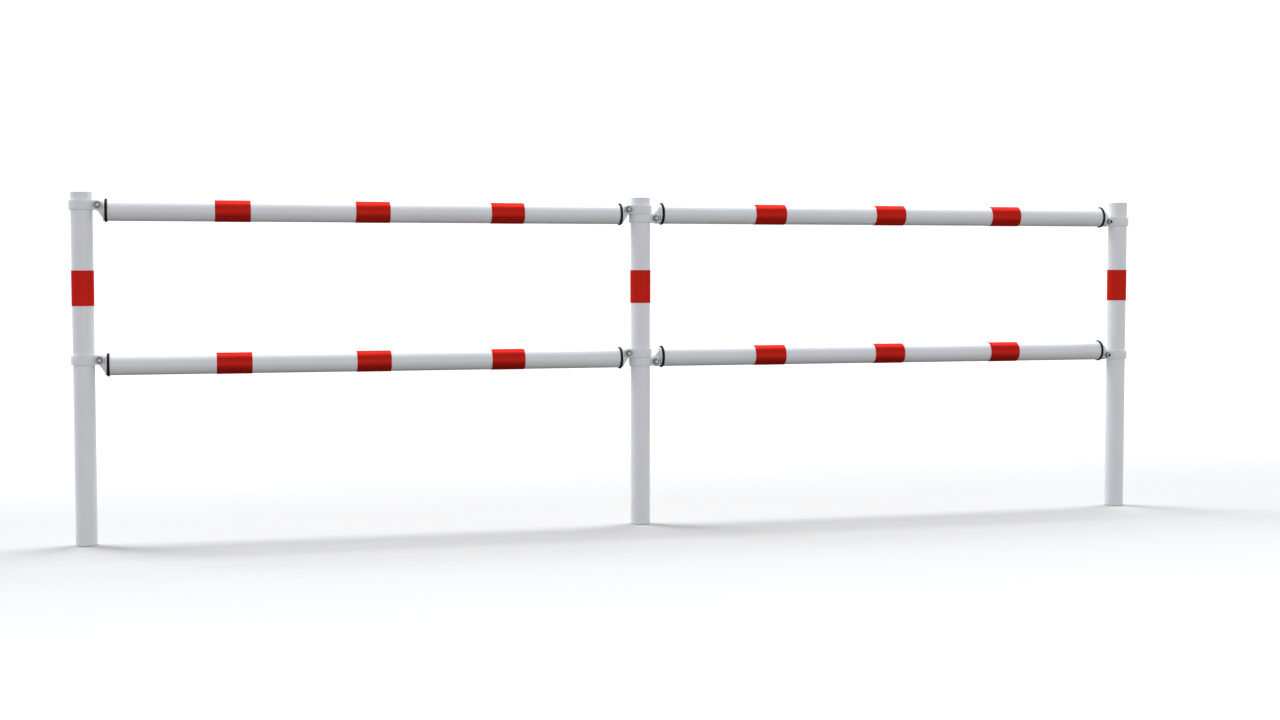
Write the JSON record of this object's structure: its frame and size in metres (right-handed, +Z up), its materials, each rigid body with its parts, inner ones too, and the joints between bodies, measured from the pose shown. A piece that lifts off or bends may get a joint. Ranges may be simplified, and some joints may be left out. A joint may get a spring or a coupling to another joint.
{
  "type": "tubular post-and-rail barrier",
  "caption": "White tubular post-and-rail barrier with red reflective bands; rails are pinned in strap clamps on round posts, so its bays can swing and rake.",
  "frame": {"origin": "on the floor at the middle post's axis", "axes": "+X along the barrier to the right, +Y away from the front, +Z up"},
  "size_m": [3.328, 0.07, 1],
  "materials": {
    "tube_white": "satin powder coat",
    "clamp_white": "satin powder coat",
    "casting_white": "satin powder coat on a casting",
    "cap_white": "moulded, satin",
    "red_reflective": "retroreflective sheeting under a clear film",
    "seal_rubber": "moulded",
    "zinc_fasteners": "zinc plated"
  },
  "bodies": {
    "middle_post": {"middle_post_tube": "tube_white", "middle_post_cap": "cap_white", "middle_post_foot": "cap_white", "middle_post_band": "red_reflective"},
    "middle_left_clamps": {"middle_left_upper_clamp": "clamp_white", "middle_left_lower_clamp": "clamp_white", "middle_left_bolts": "zinc_fasteners", "middle_left_nuts": "zinc_fasteners", "middle_left_washers": "zinc_fasteners"},
    "left_upper_rail": {"left_upper_rail_tube": "tube_white", "left_upper_rail_outer_end": "casting_white", "left_upper_rail_inner_end": "casting_white", "left_upper_rail_seals": "seal_rubber", "left_upper_rail_bands": "red_reflective"},
    "left_lower_rail": {"left_lower_rail_tube": "tube_white", "left_lower_rail_outer_end": "casting_white", "left_lower_rail_inner_end": "casting_white", "left_lower_rail_seals": "seal_rubber", "left_lower_rail_bands": "red_reflective"},
    "left_end_clamps": {"left_upper_clamp": "clamp_white", "left_lower_clamp": "clamp_white", "left_bolts": "zinc_fasteners", "left_nuts": "zinc_fasteners", "left_washers": "zinc_fasteners"},
    "left_post": {"left_post_tube": "tube_white", "left_post_cap": "cap_white", "left_post_foot": "cap_white", "left_post_band": "red_reflective"},
    "middle_right_clamps": {"middle_right_upper_clamp": "clamp_white", "middle_right_lower_clamp": "clamp_white", "middle_right_bolts": "zinc_fasteners", "middle_right_nuts": "zinc_fasteners", "middle_right_washers": "zinc_fasteners"},
    "right_upper_rail": {"right_upper_rail_tube": "tube_white", "right_upper_rail_outer_end": "casting_white", "right_upper_rail_inner_end": "casting_white", "right_upper_rail_seals": "seal_rubber", "right_upper_rail_bands": "red_reflective"},
    "right_lower_rail": {"right_lower_rail_tube": "tube_white", "right_lower_rail_outer_end": "casting_white", "right_lower_rail_inner_end": "casting_white", "right_lower_rail_seals": "seal_rubber", "right_lower_rail_bands": "red_reflective"},
    "right_end_clamps": {"right_upper_clamp": "clamp_white", "right_lower_clamp": "clamp_white", "right_bolts": "zinc_fasteners", "right_nuts": "zinc_fasteners", "right_washers": "zinc_fasteners"},
    "right_post": {"right_post_tube": "tube_white", "right_post_cap": "cap_white", "right_post_foot": "cap_white", "right_post_band": "red_reflective"}
  },
  "joints": [
    {"name": "left_bay_swing", "type": "hinge", "parent": "middle_post", "child": "middle_left_clamps", "pos_m": [0, 0, 0.9627], "axis": [0, 0, 1], "range_deg": [-55, 55]},
    {"name": "left_upper_rail_rake", "type": "hinge", "parent": "middle_left_clamps", "child": "left_upper_rail", "pos_m": [-0.043, 0, 0.9627], "axis": [0, 1, 0], "range_deg": [-25, 25]},
    {"name": "left_lower_rail_rake", "type": "hinge", "parent": "middle_left_clamps", "child": "left_lower_rail", "pos_m": [-0.043, 0, 0.5259], "axis": [0, 1, 0], "range_deg": [-25, 25]},
    {"name": "left_end_clamps_level", "type": "hinge", "parent": "left_upper_rail", "child": "left_end_clamps", "pos_m": [-1.586, 0, 0.9627], "axis": [0, 1, 0], "range_deg": [-25, 25]},
    {"name": "left_post_turn", "type": "hinge", "parent": "left_end_clamps", "child": "left_post", "pos_m": [-1.629, 0, 0.5], "axis": [0, 0, 1], "continuous": true},
    {"name": "right_bay_swing", "type": "hinge", "parent": "middle_post", "child": "middle_right_clamps", "pos_m": [0, 0, 0.9365], "axis": [0, 0, 1], "range_deg": [-55, 55]},
    {"name": "right_upper_rail_rake", "type": "hinge", "parent": "middle_right_clamps", "child": "right_upper_rail", "pos_m": [0.043, 0, 0.9365], "axis": [0, 1, 0], "range_deg": [-25, 25]},
    {"name": "right_lower_rail_rake", "type": "hinge", "parent": "middle_right_clamps", "child": "right_lower_rail", "pos_m": [0.043, 0, 0.4997], "axis": [0, 1, 0], "range_deg": [-25, 25]},
    {"name": "right_end_clamps_level", "type": "hinge", "parent": "right_upper_rail", "child": "right_end_clamps", "pos_m": [1.586, 0, 0.9365], "axis": [0, 1, 0], "range_deg": [-25, 25]},
    {"name": "right_post_turn", "type": "hinge", "parent": "right_end_clamps", "child": "right_post", "pos_m": [1.629, 0, 0.5], "axis": [0, 0, 1], "continuous": true}
  ],
  "couplings": [
    {"joint": "left_lower_rail_rake", "follows": "left_upper_rail_rake", "ratio": 1},
    {"joint": "left_end_clamps_level", "follows": "left_upper_rail_rake", "ratio": -1},
    {"joint": "right_lower_rail_rake", "follows": "right_upper_rail_rake", "ratio": 1},
    {"joint": "right_end_clamps_level", "follows": "right_upper_rail_rake", "ratio": -1}
  ]
}
